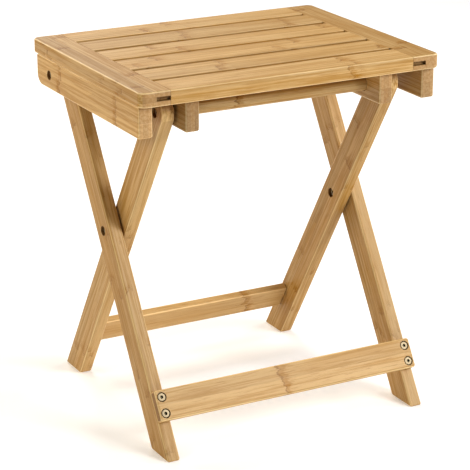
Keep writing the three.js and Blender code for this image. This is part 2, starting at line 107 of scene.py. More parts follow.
# How much painted shade darkens the wood where shade falls: in recesses, grooves and on the front stretcher's
# ends, from 0 to 1
BORED_SHADE = 0.8
GROOVE_SHADE = 0.7
STRETCHER_END_SHADE = 0.6
STRETCHER_RECESS_SHADE = 0.5
END_RAIL_HIGHLIGHT = 1.8  # how strong the painted highlight on the end rails' edges is, where other boards have 1

ARC_STEPS = 10  # in a quarter circle
EDGE_STEPS = 4
LATHE_SIDES = 48
CROSSBAR_SIDES = 64
SLEEVE_SIDES = 32
SHARP_ANGLE = math.radians(38)
FLAT_WEIGHT = 80  # how much more the large faces count in the shading, where 50 is even
STEEP_ANGLE = math.radians(50)  # an edge that is rounded turns by more than this
PROUD = 0.002  # how far a cutter stands out of the board that it cuts
NEARLY = 1e-5  # room for rounding where places are compared
END_SLICE = 1e-4  # how thick a slice counts as the end of a board

STRIP_WIDTH = 0.021  # of the bamboo strips that a board is glued up from, roughly
LAYER_THICKNESS = 0.0058

SIDES = (("left", -1), ("right", 1))
PAIR = ("upper", "lower")
STRETCHER_PINS = {
    side: [f"stretcher_pin_{side}_{place}" for place in PAIR] for side, _ in SIDES
}

# Each board's bamboo: where its first knot lies, how far apart the knots are and how far they
# wander from strip to strip, all in metres. Then how light it is and how golden, about 0 to 1, and
# how much paler its narrow faces are, or darker where the number is negative. The lightness is
# partly the boards' own tone and partly painted shade, set lower for the crossbar, the slotted rails
# and the right apron, which sit in the seat's shade. The narrow faces' paler and darker colour is
# painted light and shade, partly also the side grain's own colour.
BOARD_CHARACTER = {
    "seat_end_rail_left": (0.070, 0.21, 0.05, 0.46, 0.82, 0.0),
    "seat_end_rail_right": (0.275, 0.24, 0.05, 0.38, 1.0, 0.0),
    "seat_slat_1": (0.263, 0.25, 0.01, 0.68, 0.42, -0.35),
    "seat_slat_2": (0.090, 0.22, 0.06, 0.63, 0.50, -1.0),
    "seat_slat_3": (0.048, 0.19, 0.03, 0.60, 0.58, -1.0),
    "seat_slat_4": (0.108, 0.24, 0.02, 0.63, 0.50, -1.0),
    "seat_slat_5": (0.147, 0.148, 0.01, 0.59, 0.55, -1.0),
    "seat_slat_6": (0.170, 0.23, 0.06, 0.62, 0.50, -1.0),
    "apron_left": (0.062, 0.164, 0.012, 0.63, 0.55, 0.2),
    "apron_right": (0.190, 0.23, 0.05, 0.30, 0.60, 0.2),
    "slotted_rail_left": (0.090, 0.24, 0.05, 0.18, 0.65, 0.2),
    "slotted_rail_right": (0.210, 0.24, 0.05, 0.36, 0.62, 0.2),
    "outer_leg_left": (0.144, 0.200, 0.10, 0.36, 1.0, 0.8),
    "outer_leg_right": (0.130, 0.250, 0.08, 0.44, 0.60, 0.7),
    "inner_leg_left": (0.050, 0.240, 0.03, 0.44, 0.58, 0.9),
    "inner_leg_right": (0.150, 0.250, 0.08, 0.39, 0.85, 0.1),
    "front_stretcher": (0.173, 0.260, 0.003, 0.6, 0.24, 0.0),
    "rear_stretcher": (0.226, 0.240, 0.01, 0.52, -0.2, 0.0),
    "crossbar": (0.120, 0.250, 0.05, 0.26, 0.50, 0.0),
}
PIN_CHARACTER = (1.0, 2.0, 0.0, 0.50, 0.40, 0.0)  # a pin is too short for a knot
BOARD_CHARACTER |= {pin: PIN_CHARACTER for pins in STRETCHER_PINS.values() for pin in pins}

# ---- Frames: a body's parts are built upright, in the frame that hangs from its top pivot ----

BODIES = frame["record"]["behaviour"]["bodies"]
BODY_OF = {node: body for body, nodes in BODIES.items() for node in nodes}
JOINTS = {joint["name"]: joint for joint in frame["joints"]}
BACK_PIVOT = Vector(JOINTS["seat_hinge"]["pos_m"])
CROSSING = Vector(JOINTS["leg_scissor"]["pos_m"])
FRONT_PIVOT = Vector((0, 2 * CROSSING.y - BACK_PIVOT.y, BACK_PIVOT.z))
LEAN = math.atan2(BACK_PIVOT.y - CROSSING.y, BACK_PIVOT.z - CROSSING.z)
PLACES = {
    "seat": Matrix.Identity(4),
    "outer_frame": Matrix.Translation(BACK_PIVOT) @ Matrix.Rotation(-LEAN, 4, "X"),
    "inner_frame": Matrix.Translation(FRONT_PIVOT) @ Matrix.Rotation(LEAN, 4, "X"),
}
X, Y, Z = Vector((1, 0, 0)), Vector((0, 1, 0)), Vector((0, 0, 1))


def place_of(body, along, across):
    """The frame of a piece on a body: x along the first direction and y along the second."""
    axes = Matrix((along, across, along.cross(across))).transposed().to_4x4()
    return PLACES[body] @ axes


def local_box(node, place):
    """Lowest and highest corner of a CAD node, in the frame given by place."""
    inverse = place.inverted()
    points = [inverse @ v.co for v in frame["nodes"][node].data.vertices]
    low = Vector([min(p[i] for p in points) for i in range(3)])
    high = Vector([max(p[i] for p in points) for i in range(3)])
    return low, high


# ---- Solids ----


def arc(centre, radius, start, turn, steps):
    """Points on an arc, from an angle through a turn, both in quarter circles."""
    quarter = math.pi / 2
    angles = [(start + turn * i / steps) * quarter for i in range(steps + 1)]
    return [(centre[0] + radius * math.cos(a), centre[1] + radius * math.sin(a)) for a in angles]


def rounded_rectangle(u0, u1, v0, v1, radii, steps=ARC_STEPS):
    """An outline with a radius of its own at each corner, counterclockwise from the lowest."""
    corners = ((u0, v0, 1, 1), (u1, v0, -1, 1), (u1, v1, -1, -1), (u0, v1, 1, -1))
    points = []
    for quarter, ((u, v, du, dv), r) in enumerate(zip(corners, radii)):
        if r:
            points += arc((u + du * r, v + dv * r), r, quarter + 2, 1, steps)
        else:
            points.append((u, v))
    return points


def prism(outline, half, turn=0):
    """A closed solid with this outline. Its length runs along z, or along x with turn = 1."""
    bm = bmesh.new()

    def vertex(point, depth):
        a, b = point
        return bm.verts.new((a, b, depth) if turn == 0 else (depth, a, b))

    low = [vertex(p, -half) for p in outline]
    high = [vertex(p, half) for p in outline]
    bm.faces.new(low[::-1])
    bm.faces.new(high)
    for i, (a, b) in enumerate(zip(low, high)):
        j = (i + 1) % len(low)
        bm.faces.new((a, low[j], high[j], b))
    bmesh.ops.recalc_face_normals(bm, faces=bm.faces)
    return bm


def round_edges(bm, radius, chosen=lambda edge: True):
    """Rounds the sharp edges that chosen says yes to."""
    edges = [e for e in bm.edges if e.calc_face_angle(0) > STEEP_ANGLE and chosen(e)]
    bmesh.ops.bevel(
        bm, geom=edges, offset=radius, segments=EDGE_STEPS, profile=0.5,
        affect="EDGES", clamp_overlap=True,
    )
    return bm


def lathe(profile, sides=LATHE_SIDES, ring=False):
    """A solid of revolution about z, from (radius, height) points. A ring's profile is closed."""
    bm = bmesh.new()
    rows = []
    for radius, height in profile:
        count = sides if radius > 0 else 1
        angles = [2 * math.pi * i / sides for i in range(count)]
        row = [bm.verts.new((radius * math.cos(a), radius * math.sin(a), height)) for a in angles]
        rows.append(row)
    pairs = list(zip(rows, rows[1:])) + ([(rows[-1], rows[0])] if ring else [])
    for low, high in pairs:
        for i in range(sides):
            j = (i + 1) % sides
            corners = [low[i % len(low)], low[j % len(low)], high[j % len(high)], high[i % len(high)]]
            corners = list(dict.fromkeys(corners))
            if len(corners) > 2:
                bm.faces.new(corners)
    bmesh.ops.recalc_face_normals(bm, faces=bm.faces)
    return bm


def facing(direction):
    """A turn that points +z along a direction."""
    return direction.to_track_quat("Z", "Y").to_matrix().to_4x4()


def drilled(recess_radius, recess_depth, bore_radius, bore_depth):
    """What a drill takes away below z = 0: a recess with a chamfered rim, and a bore under it."""
    return lathe([
        (0, PROUD),
        (recess_radius + RECESS_RIM, PROUD),
        (recess_radius + RECESS_RIM, 0),
        (recess_radius, -RECESS_RIM),
        (recess_radius, -recess_depth),
        (bore_radius, -recess_depth),
        (bore_radius, -bore_depth),
        (0, -bore_depth),
    ])


def mesh_object(name, bm, matrix):
    """An object made from a bmesh solid, which is freed."""
    mesh = bpy.data.meshes.new(name)
    bm.to_mesh(mesh)
    bm.free()
    obj = bpy.data.objects.new(name, mesh)
    obj.matrix_world = matrix
    bpy.context.scene.collection.objects.link(obj)
    return obj


def boolean(obj, cutters, operation):
    """Cuts or joins bmesh solids, given in the object's own frame, and applies the result."""
    for bm in cutters:
        tool = mesh_object("tool", bm, obj.matrix_world)
        modifier = obj.modifiers.new("boolean", "BOOLEAN")
        modifier.object = tool
        modifier.operation = operation
        modifier.solver = "EXACT"
        bpy.context.view_layer.update()
        made = bpy.data.meshes.new_from_object(
            obj.evaluated_get(bpy.context.evaluated_depsgraph_get())
        )
        obj.modifiers.clear()
        obj.data = made
        bpy.data.objects.remove(tool)


def moved(bm, matrix):
    bmesh.ops.transform(bm, matrix=matrix, verts=bm.verts)
    return bm


def merged(solids):
    """Several separate solids as one."""
    together = bmesh.new()
    for bm in solids:
        mesh = bpy.data.meshes.new("part")
        bm.to_mesh(mesh)
        bm.free()
        together.from_mesh(mesh)
        bpy.data.meshes.remove(mesh)
    return together


def smooth(obj):
    """Smooth shading that stays flat on flat faces and crisp on sharp edges."""
    obj.data.shade_smooth()
    obj.data.set_sharp_from_angle(angle=SHARP_ANGLE)
    modifier = obj.modifiers.new("normals", "WEIGHTED_NORMAL")
    modifier.keep_sharp = True
    modifier.weight = FLAT_WEIGHT


# ---- Materials ----


class Graph:
    """A material's node tree, with short calls for the nodes that repeat."""

    def __init__(self, name):
        self.material = bpy.data.materials.new(name)
        self.material.use_nodes = True
        self.nodes = self.material.node_tree.nodes
        self.links = self.material.node_tree.links
        self.shader = self.nodes["Principled BSDF"]

    def feed(self, socket, value):
        if isinstance(value, bpy.types.NodeSocket):
            self.links.new(value, socket)
        else:
            socket.default_value = value

    def math(self, operation, a, b=0.0, c=0.0, clamp=False):
        node = self.nodes.new("ShaderNodeMath")
        node.operation = operation
        node.use_clamp = clamp
        for socket, value in zip(node.inputs, (a, b, c)):
            self.feed(socket, value)
        return node.outputs[0]

    def attribute(self, name):
        node = self.nodes.new("ShaderNodeAttribute")
        node.attribute_name = name
        return self.split(node.outputs["Vector"])

    def split(self, vector):
        node = self.nodes.new("ShaderNodeSeparateXYZ")
        self.links.new(vector, node.inputs[0])
        return node.outputs

    def join(self, x, y, z):
        node = self.nodes.new("ShaderNodeCombineXYZ")
        for socket, value in zip(node.inputs, (x, y, z)):
            self.feed(socket, value)
        return node.outputs[0]

    def noise(self, point, waves, detail=2.0, roughness=0.5):
        """Noise at a point, with how many waves per metre it has along each axis."""
        node = self.nodes.new("ShaderNodeTexNoise")
        node.inputs["Scale"].default_value = 1.0
        node.inputs["Detail"].default_value = detail
        node.inputs["Roughness"].default_value = roughness
        stretched = [self.math("MULTIPLY", value, scale) for value, scale in zip(point, waves)]
        self.links.new(self.join(*stretched), node.inputs["Vector"])
        return node.outputs["Fac"]

    def random(self, vector):
        node = self.nodes.new("ShaderNodeTexWhiteNoise")
        node.noise_dimensions = "3D"
        self.links.new(vector, node.inputs["Vector"])
        return self.split(node.outputs["Color"])

    def steps(self, value, low, high):
        """0 below low, 1 above high, and a smooth change between them."""
        node = self.nodes.new("ShaderNodeMapRange")
        node.interpolation_type = "SMOOTHSTEP"
        self.feed(node.inputs["Value"], value)
        node.inputs["From Min"].default_value = low
        node.inputs["From Max"].default_value = high
        return node.outputs["Result"]

    def fall(self, value, low, high):
        """1 below low, 0 above high, and a smooth change between them."""
        return self.math("SUBTRACT", 1.0, self.steps(value, low, high))

    def between(self, value, rise, fall):
        """1 after a rise and before a fall, which are each given by their two ends."""
        return self.math("MULTIPLY", self.steps(value, *rise), self.fall(value, *fall))

    def product(self, first, *others):
        """All the values multiplied together."""
        for value in others:
            first = self.math("MULTIPLY", first, value)
        return first

    def blend(self, factor, a, b):
        node = self.nodes.new("ShaderNodeMix")
        node.data_type = "RGBA"
        self.feed(node.inputs["Factor"], factor)
        self.feed(node.inputs["A"], a if isinstance(a, bpy.types.NodeSocket) else (*a, 1))
        self.feed(node.inputs["B"], b if isinstance(b, bpy.types.NodeSocket) else (*b, 1))
        return node.outputs["Result"]

    def bump(self, height, distance, strength):
        node = self.nodes.new("ShaderNodeBump")
        node.inputs["Distance"].default_value = distance
        node.inputs["Strength"].default_value = strength
        self.links.new(height, node.inputs["Height"])
        self.links.new(node.outputs["Normal"], self.shader.inputs["Normal"])


# ---- Bamboo ----

# Colours of the bamboo, as linear RGB
PALE = (0.735, 0.502, 0.222)
HONEY = (0.48, 0.266, 0.068)
ROSY = (0.56, 0.29, 0.050)
BROWN = (0.27, 0.105, 0.008)
# The next colour is painted shade, laid where shade falls in recesses, grooves and on ends
PAINTED_SHADE_COLOUR = (0.11, 0.036, 0.0)
KNOT = (0.35, 0.145, 0.0)
CHAR = (0.19, 0.068, 0.001)
CUT = (0.36, 0.20, 0.100)
# The next colour is a painted highlight, laid on the rounded edges
HIGHLIGHT = (0.96, 0.74, 0.40)

# Where a knot's marks come and go along the grain, in metres past the knot
KNOT_RAGGEDNESS = 0.022
BAND_FADE = (0.001, 0.006)
CORE_PLACE = -0.004
CORE_FADE = (0.0003, 0.0022)
FAN_RISE = (0.004, 0.010)
FAN_FALL = (0.012, 0.045)
BRUSH_RISE = (-0.002, 0.003)
BRUSH_FALL = (0.006, 0.026)

# Half the width of a glue line, as a share of a strip's width or of a layer's thickness
GLUE_ACROSS = 0.025
GLUE_THROUGH = 0.08
GLUE_CORE = 0.4  # the share of that half width that is fully dark



class Bamboo(Graph):
    """Laminated bamboo: strips with fine fibres, knots every hand's breadth or two, and lacquer.
    A board's mesh carries its strips' size and seed, its row of BOARD_CHARACTER, and how strongly
    its faces take painted shade and its edges a painted highlight."""

    def __init__(self):
        super().__init__("bamboo")
        place = self.nodes.new("ShaderNodeTexCoord")
        self.x, self.y, self.z = self.split(place.outputs["Object"])
        normal = self.split(place.outputs["Normal"])
        self.facing = [self.math("ABSOLUTE", part) for part in normal]
        strip_width, layer_thickness, seed = self.attribute("strips")
        self.seeded_y = self.math("ADD", self.y, seed)
        self.across = self.math("DIVIDE", self.y, strip_width)
        self.through = self.math("DIVIDE", self.z, layer_thickness)
        # Each strip has random numbers of its own
        strip = self.join(self.math("FLOOR", self.across), self.math("FLOOR", self.through), seed)
        self.strip_shade, self.strip_shift, self.strip_strength = self.random(strip)
        self.streaks = self.fibres(7, 300, 5, 0.72)
        self.lines = self.fibres(40, 620, 3, 0.6)

    def fibres(self, along, across, detail=2.0, roughness=0.5):
        """Noise drawn out along the grain, with its waves per metre along and across it."""
        point = (self.x, self.seeded_y, self.z)
        return self.noise(point, (along, across, across), detail, roughness)

    def past_knot(self):
        """How far a point is past its strip's nearest knot, with a ragged start."""
        first, spacing, scatter = self.attribute("knots")
        shift = self.math("SUBTRACT", self.strip_shift, 0.5)
        offset = self.math("MULTIPLY", shift, self.math("MULTIPLY", scatter, 2))
        along = self.math("SUBTRACT", self.math("SUBTRACT", self.x, first), offset)
        turns = self.math("DIVIDE", along, spacing)
        near = self.math("SUBTRACT", turns, self.math("ROUND", turns))
        distance = self.math("MULTIPLY", near, spacing)
        wander = self.math("SUBTRACT", self.fibres(50, 150, 3, 0.6), 0.5)
        return self.math("MULTIPLY_ADD", wander, KNOT_RAGGEDNESS, distance)

    def knots(self):
        """A knot's brown band, the dark line at its start, and the dark brush of fibres and the
        pale fan that follow it."""
        past = self.past_knot()
        weight = self.math("MULTIPLY_ADD", self.strip_strength, 0.4, 0.6)
        fibrous = self.math("MULTIPLY_ADD", self.steps(self.streaks, 0.42, 0.60), 0.5, 0.5)
        band = self.product(self.fall(self.math("ABSOLUTE", past), *BAND_FADE), fibrous, weight)
        from_core = self.math("ABSOLUTE", self.math("SUBTRACT", past, CORE_PLACE))
        core = self.product(self.fall(from_core, *CORE_FADE), weight)
        dark_fibres = self.steps(self.lines, 0.46, 0.60)
        brush = self.product(self.between(past, BRUSH_RISE, BRUSH_FALL), weight, dark_fibres)
        fan = self.between(past, FAN_RISE, FAN_FALL)
        return band, core, brush, fan

    def glue_lines(self):
        """Thin dark lines between the strips and between the layers."""

        def line(position, half_width):
            nearest = self.math("ROUND", position)
            to_edge = self.math("ABSOLUTE", self.math("SUBTRACT", position, nearest))
            return self.fall(to_edge, half_width * GLUE_CORE, half_width)

        return self.math("MAXIMUM", line(self.across, GLUE_ACROSS), line(self.through, GLUE_THROUGH))

    def edge_highlight(self, highlight_weight):
        """A painted highlight on the rounded edges round the wide faces, where the colour is paler."""
        side = self.math("MAXIMUM", self.facing[1], self.facing[2])
        flat = self.math("MAXIMUM", side, self.facing[0])
        rounded = self.fall(flat, 0.76, 0.97)
        return self.product(rounded, highlight_weight, self.steps(self.facing[2], 0.25, 0.45))

    def wood(self, gold, edge):
        """Streaks from pale to honey, more golden as the board's row says, with painted light and shade on the
        narrow faces.
        """
        mix = self.math("MULTIPLY_ADD", self.steps(self.streaks, 0.39, 0.61), 0.95, -0.22)
        mix = self.math("ADD", mix, self.math("MULTIPLY_ADD", gold, 0.6, -0.15))
        mix = self.math("SUBTRACT", mix, self.math("MULTIPLY", edge, 0.45), clamp=True)
        return self.blend(mix, PALE, HONEY)

    def brightness(self, tone_and_shade, edge):
        """Strips and boards differ in how light they are, partly as painted shade, and some boards'
        narrow faces are darkened as painted shade.
        """
        strip = self.math("MULTIPLY_ADD", self.strip_shade, 0.24, 0.88)
        board = self.math("MULTIPLY_ADD", tone_and_shade, 0.9, 0.55)
        narrow = self.math("MULTIPLY_ADD", self.math("MINIMUM", edge, 0.0), 0.26, 1.0)
        return self.product(strip, board, narrow)

    def paint(self, glue, end, highlit_edges, painted_shade):
        """Lays the colours over each other, each by how strongly it shows and where."""
        # The tone is partly the board's own and partly painted shade
        tone_and_shade, gold, narrow_face_light = self.attribute("tint")
        # edge is painted light and shade on the narrow faces, partly also the side grain's own colour
        edge = self.product(self.steps(self.facing[1], 0.6, 0.9), narrow_face_light)
        band, core, brush, fan = self.knots()
        layers = (
            (0.40, self.steps(self.fibres(4, 40), 0.45, 0.75), ROSY),
            (0.38, self.steps(self.lines, 0.56, 0.70), BROWN),
            (0.20, fan, PALE),
            (0.55, brush, KNOT),
            (1.00, band, KNOT),
            (0.80, core, CHAR),
            (0.35, glue, BROWN),
            (0.55, end, CUT),
            # a painted highlight on the rounded edges
            (0.40, highlit_edges, HIGHLIGHT),
            # painted shade, where shade falls
            (1.00, painted_shade, PAINTED_SHADE_COLOUR),
        )
        colour = self.wood(gold, edge)
        for strength, where, tint in layers:
            colour = self.blend(self.math("MULTIPLY", where, strength), colour, tint)
        bright = self.nodes.new("ShaderNodeVectorMath")
        bright.operation = "SCALE"
        self.feed(bright.inputs[0], colour)
        self.feed(bright.inputs["Scale"], self.brightness(tone_and_shade, edge))
        self.feed(self.shader.inputs["Base Color"], bright.outputs[0])

    def lacquer(self, glue, end, highlit_edges):
        """A thin satin lacquer over fine pores. The end grain is rougher and the edges with the painted highlight
        smoother.
        """
        rough = self.math("MULTIPLY_ADD", self.streaks, 0.16, 0.42)
        rough = self.math("MULTIPLY_ADD", end, 0.15, rough)
        self.feed(self.shader.inputs["Roughness"], self.math("MULTIPLY_ADD", highlit_edges, -0.14, rough))
        self.shader.inputs["Specular IOR Level"].default_value = 0.16
        self.shader.inputs["Coat Weight"].default_value = 0.07
        self.shader.inputs["Coat Roughness"].default_value = 0.18
        height = self.math("MULTIPLY_ADD", self.fibres(60, 2600), 0.4, self.lines)
        height = self.math("SUBTRACT", height, self.math("MULTIPLY", glue, 0.6))
        self.bump(height, 0.00012, 0.5)


def bamboo():
    """The boards' material, with painted shade in recesses and grooves, painted highlights on the edges, glue
    lines and cut ends.
    """
    g = Bamboo()
    painted_shade, highlight_weight, _ = g.attribute("painted_light")
    highlit_edges = g.edge_highlight(highlight_weight)
    glue = g.glue_lines()
    end = g.steps(g.facing[0], 0.7, 0.9)
    g.paint(glue, end, highlit_edges, painted_shade)
    g.lacquer(glue, end, highlit_edges)
    return g.material


# ---- The other materials ----

# Where a socket's painted shade ends, past its radius and below the top of the head
SOCKET_FADE = 0.0002
SOCKET_LIP = (-0.0004, -0.0001)


def steel():
    """Satin steel, zinc plated a pale gold, with fine turning marks and painted shade in the sockets."""
    g = Graph("steel")
    place = g.nodes.new("ShaderNodeTexCoord")
    x, y, z = g.split(place.outputs["Object"])
    radius = g.math("SQRT", g.math("MULTIPLY_ADD", x, x, g.math("MULTIPLY", y, y)))
    rings = g.noise((radius, z, 0.0), (5000, 3000, 0.0))
    mottle = g.noise((x, y, z), (300, 300, 300), 3)
    socket = BOLT["socket_radius"]
    # The socket's hollow is darkened as painted shade
    inside = g.fall(radius, socket, socket + SOCKET_FADE)
    deep = g.fall(z, *SOCKET_LIP)
    plating = g.blend(mottle, (0.47, 0.385, 0.25), (0.37, 0.295, 0.185))
    colour = g.blend(g.math("MULTIPLY", inside, deep), plating, (0.12, 0.10, 0.055))
    g.feed(g.shader.inputs["Base Color"], colour)
    g.shader.inputs["Metallic"].default_value = 1.0
    g.feed(g.shader.inputs["Roughness"], g.math("MULTIPLY_ADD", rings, 0.16, 0.52))
    g.bump(rings, 0.00002, 0.4)
    return g.material


def nylon():
    """Pale washers of moulded nylon, slightly waxy."""
    g = Graph("nylon")
    place = g.nodes.new("ShaderNodeTexCoord")
    grain = g.noise(g.split(place.outputs["Object"]), (1800, 1800, 1800))
    g.feed(g.shader.inputs["Base Color"], g.blend(grain, (0.62, 0.60, 0.55), (0.54, 0.52, 0.47)))
    g.feed(g.shader.inputs["Roughness"], g.math("MULTIPLY_ADD", grain, 0.15, 0.42))
    g.shader.inputs["Subsurface Weight"].default_value = 0.08
    g.shader.inputs["Subsurface Radius"].default_value = (0.001, 0.001, 0.001)
    g.bump(grain, 0.00002, 0.3)
    return g.material


def floor_finish():
    """A pale matte studio floor."""
    g = Graph("studio_floor")
    g.shader.inputs["Base Color"].default_value = (0.85, 0.85, 0.85, 1)
    g.shader.inputs["Emission Color"].default_value = (1, 1, 1, 1)
    g.shader.inputs["Emission Strength"].default_value = 0.22
    g.shader.inputs["Roughness"].default_value = 0.9
    g.shader.inputs["Specular IOR Level"].default_value = 0.1
    return g.material


MATERIALS = {"bamboo": bamboo(), "steel": steel(), "nylon": nylon()}
SLOT_OF = {row["node"]: row["material_slot"] for row in frame["record"]["subparts"]}


def stand_in(obj, node):
    """Puts a fine piece in the place of its CAD node."""
    smooth(obj)
    obj.name = node + "_fine"
    obj.data.materials.clear()
    obj.data.materials.append(MATERIALS[SLOT_OF[node]])
    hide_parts(node)
    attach(obj, BODY_OF[node])
    return obj


# ---- Boards ----


class Board:
    """A bamboo piece in its own frame: x along the grain, y across it and z through it, from the
    middle of its CAD node's box."""

    def __init__(self, node, along, across):
        self.node = node
        place = place_of(BODY_OF[node], along, across)
        low, high = local_box(node, place)
        self.half = (high - low) / 2
        self.place = place @ Matrix.Translation((low + high) / 2)
        self.cutters = []  # solids to cut away
        self.recesses = []  # each drilled hole's start, axis, radius and painted shade
        self.shaded = []  # each box of painted shade: its two corners and how dark
        self.highlight_weight = 1.0  # how strong the painted highlight on the edges is

    def toward(self, direction):
        """A direction of the body's frame, in the board's own frame."""
        turn = (PLACES[BODY_OF[self.node]].inverted() @ self.place).to_3x3().inverted()
        return turn @ direction

    def spot(self, node):
        """The lowest and highest corner of another CAD node, in the board's own frame."""
        return local_box(node, self.place)

    def drill(self, bolt, out, recess_radius, recess_depth, stem=BOLT_STEM, through=True,
              shade=BORED_SHADE):
        """Cuts the recess and the bore of a bolt whose head points out of the board, along out.
        The bore goes right through the board, or else ends just past the bolt's tip. The hole's faces get
        painted shade of the given strength."""
        low, high = self.spot(bolt)
        centre = (low + high) / 2
        axis = self.toward(out)
        surface = abs(self.half.dot(axis))
        start = centre - axis * centre.dot(axis) + axis * surface
        tip = min(low.dot(axis), high.dot(axis)) - JOINT_GAP
        depth = 2 * surface + PROUD if through else surface - tip
        cutter = drilled(recess_radius, recess_depth, stem + BORE_CLEARANCE, depth)
        self.cutters.append(moved(cutter, Matrix.Translation(start) @ facing(axis)))
        self.recesses.append((start, axis, recess_radius, shade))

    def pilot(self, node, out, stem):
        """Cuts the blind hole that a screw, bolt or pin goes into, from the board's side at out."""
        mouth = stem + BORE_CLEARANCE + PILOT_RIM
        self.drill(node, out, mouth, PILOT_RIM, stem, through=False)

    def build(self, bm, joined=()):
        """Makes the piece from its blank, what is joined to it and what is drilled out of it."""
        obj = mesh_object(self.node + "_fine", bm, self.place)
        boolean(obj, joined, "UNION")
        if self.cutters:
            boolean(obj, [merged(self.cutters)], "DIFFERENCE")
        self.mark_painted_light(obj.data)
        # The grain is counted from the board's lowest corner
        obj.data.transform(Matrix.Translation(self.half))
        obj.matrix_world = self.place @ Matrix.Translation(-self.half)
        self.mark(obj.data)
        return stand_in(obj, self.node)

    def shade(self, low, high, amount):
        """Paints shade on the faces whose middles lie between two corners, in the board's own frame."""
        self.shaded.append((Vector(low), Vector(high), amount))

    def mark_painted_light(self, mesh):
        """Gives each face its painted shade, in recesses and other places where shade falls, and then how
        strong the painted highlight on its edges is."""

        def darkness(face):
            for start, axis, radius, shade in self.recesses:
                offset = face.center - start
                depth = -offset.dot(axis)
                away = (offset + axis * depth).length
                if depth > RECESS_RIM / 2 and away < radius + RECESS_RIM / 2:
                    return shade
            for low, high, amount in self.shaded:
                if all(a <= c <= b for a, c, b in zip(low, face.center, high)):
                    return amount
            return 0.0

        attribute = mesh.attributes.new("painted_light", "FLOAT_VECTOR", "FACE")
        values = [n for face in mesh.polygons for n in (darkness(face), self.highlight_weight, 0.0)]
        attribute.data.foreach_set("vector", values)

    def mark(self, mesh):
        """Gives the mesh its strips' size and seed, its knots and its tint."""
        width, thickness = 2 * self.half.y, 2 * self.half.z
        strips = width / max(1, round(width / STRIP_WIDTH))
        layers = thickness / max(1, round(thickness / LAYER_THICKNESS))
        seed = list(BOARD_CHARACTER).index(self.node) + 1
        character = BOARD_CHARACTER[self.node]
        values = {
            "strips": (strips, layers, seed),
            "knots": character[:3],
            "tint": character[3:],
        }
        for name, vector in values.items():
            attribute = mesh.attributes.new(name, "FLOAT_VECTOR", "POINT")
            attribute.data.foreach_set("vector", list(vector) * len(mesh.vertices))


def groove_cut(board, inner, depth):
    """The groove along an end rail's inner edge, right through to its front and back."""
    outline = rounded_rectangle(
        -inner - PROUD, -inner + depth, -GROOVE_HEIGHT / 2, GROOVE_HEIGHT / 2, (0, 0, 0, 0)
    )
    return prism(outline, board.half.x + PROUD, turn=1)


def end_rail(name, sign):
    """An end board of the seat, rounded outside, with a groove for the slats' tongues."""
    board = Board(f"seat_end_rail_{name}", Y, X * sign)
    h = board.half
    outline = rounded_rectangle(-h.x, h.x, -h.y, h.y, (0, 0, SEAT_CORNER, SEAT_CORNER))
    bm = prism(outline, h.z)

    def on_outside(edge):
        return any(v.co.y > -h.y + NEARLY for v in edge.verts)

    def on_rim(edge):
        return on_outside(edge) and abs(edge.verts[0].co.z - edge.verts[1].co.z) < NEARLY

    round_edges(bm, SEAT_EDGE, on_rim)
    tongue_tip = board.spot("seat_slat_1")[1].y
    depth = tongue_tip + h.y + JOINT_GAP
    board.cutters.append(groove_cut(board, h.y, depth))
    # The groove's walls get painted shade
    wall = GROOVE_HEIGHT / 2 + NEARLY
    inside = h.x - END_SLICE
    board.shade((-inside, -h.y, -wall), (inside, depth - h.y + NEARLY, wall), GROOVE_SHADE)
    # The end rails' edges get a stronger painted highlight
    board.highlight_weight = END_RAIL_HIGHLIGHT
    for end in ("front", "back"):
        board.pilot(f"apron_screw_{name}_{end}", -Z, SCREW_STEM)
    return board.build(bm)


def slat(index, count):
    """A slat with a tongue at each end. The first and the last have the seat's outer edge."""
    board = Board(f"seat_slat_{index}", X, Y)
    h = board.half
    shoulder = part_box("seat_end_rail_right")[0].x - JOINT_GAP
    front = SEAT_EDGE if index == 1 else SLAT_EDGE
    back = SEAT_EDGE if index == count else SLAT_EDGE
    outline = rounded_rectangle(-h.y, h.y, -h.z, h.z, (front, back, back, front), EDGE_STEPS * 2)
    tongue_front = OUTER_TONGUE_SETBACK if index == 1 else TONGUE_SETBACK
    tongue_back = OUTER_TONGUE_SETBACK if index == count else TONGUE_SETBACK
    low = -GROOVE_HEIGHT / 2 + JOINT_GAP
    tongue = rounded_rectangle(-h.y + tongue_front, h.y - tongue_back, low, -low, (0, 0, 0, 0))
    # The tongues get painted shade, where they show in the grooves' open ends
    for left, right in ((-h.x, -shoulder), (shoulder, h.x)):
        board.shade((left, -h.y, -h.z), (right, h.y, h.z), GROOVE_SHADE)
    for name, _ in SIDES:
        for end, place in (("front", 1), ("back", count)):
            if index == place:
                board.pilot(f"rail_screw_{name}_{end}", -Z, SCREW_STEM)
    return board.build(prism(outline, shoulder, turn=1), [prism(tongue, h.x, turn=1)])


def under_rail(kind, name, back_radius):
    """The board and the blank of a rail under the seat, with its screws' recesses."""
    board = Board(f"{kind}_{name}", Y, Z)
    h = board.half
    radii = (RAIL_CORNER, back_radius, RAIL_CORNER, RAIL_CORNER)
    bm = round_edges(prism(rounded_rectangle(-h.x, h.x, -h.y, h.y, radii), h.z), BOARD_EDGE)
    screws = {"apron": "apron_screw", "slotted_rail": "rail_screw"}[kind]
    for end in ("front", "back"):
        screw = f"{screws}_{name}_{end}"
        board.drill(screw, -Z, SCREW_RECESS_RADIUS, SCREW_RECESS_DEPTH, SCREW_STEM)
    return board, bm


def apron(name, sign):
    """An outer rail under the seat, bored for its top pivot's bolt."""
    board, bm = under_rail("apron", name, APRON_BACK_RADIUS)
    board.drill(f"pivot_bolt_{name}", X * sign, RECESS_RADIUS, RECESS_DEPTH)
    return board.build(bm)


